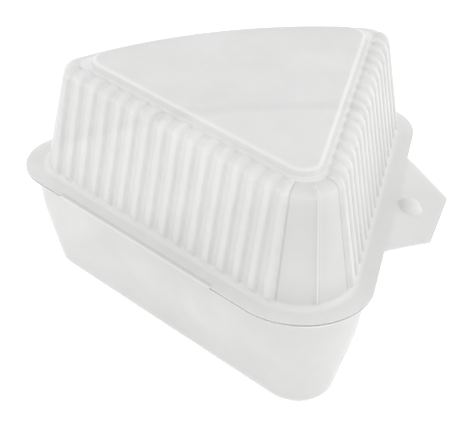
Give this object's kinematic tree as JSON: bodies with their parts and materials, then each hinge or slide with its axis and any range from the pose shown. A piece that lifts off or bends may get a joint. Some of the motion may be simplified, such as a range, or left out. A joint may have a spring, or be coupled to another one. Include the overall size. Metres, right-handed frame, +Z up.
{
  "type": "hinged dessert container",
  "caption": "Clear wedge-shaped clamshell for a slice of cake or pie: a smooth tapered tray, a ribbed lid hinged along one side, a flat rim and a snap tab.",
  "frame": {"origin": "on the surface that the tray stands on, under the middle of the rim's length and width", "axes": "+Z up, -Y towards the wedge's tip, +X towards the side with the closing tab"},
  "size_m": [0.136, 0.1287, 0.0759],
  "materials": {
    "clear_sheet": "clear, slightly milky gloss"
  },
  "bodies": {
    "tray": {"tray": "clear_sheet", "living_hinge": "clear_sheet"},
    "lid": {"lid": "clear_sheet"}
  },
  "joints": [
    {"name": "lid_hinge", "type": "hinge", "parent": "tray", "child": "lid", "pos_m": [-0.04394, -0.01018, 0.03585], "axis": [0.4886, -0.8725, 0], "range_deg": [0, 168], "deforming": ["living_hinge"]}
  ]
}
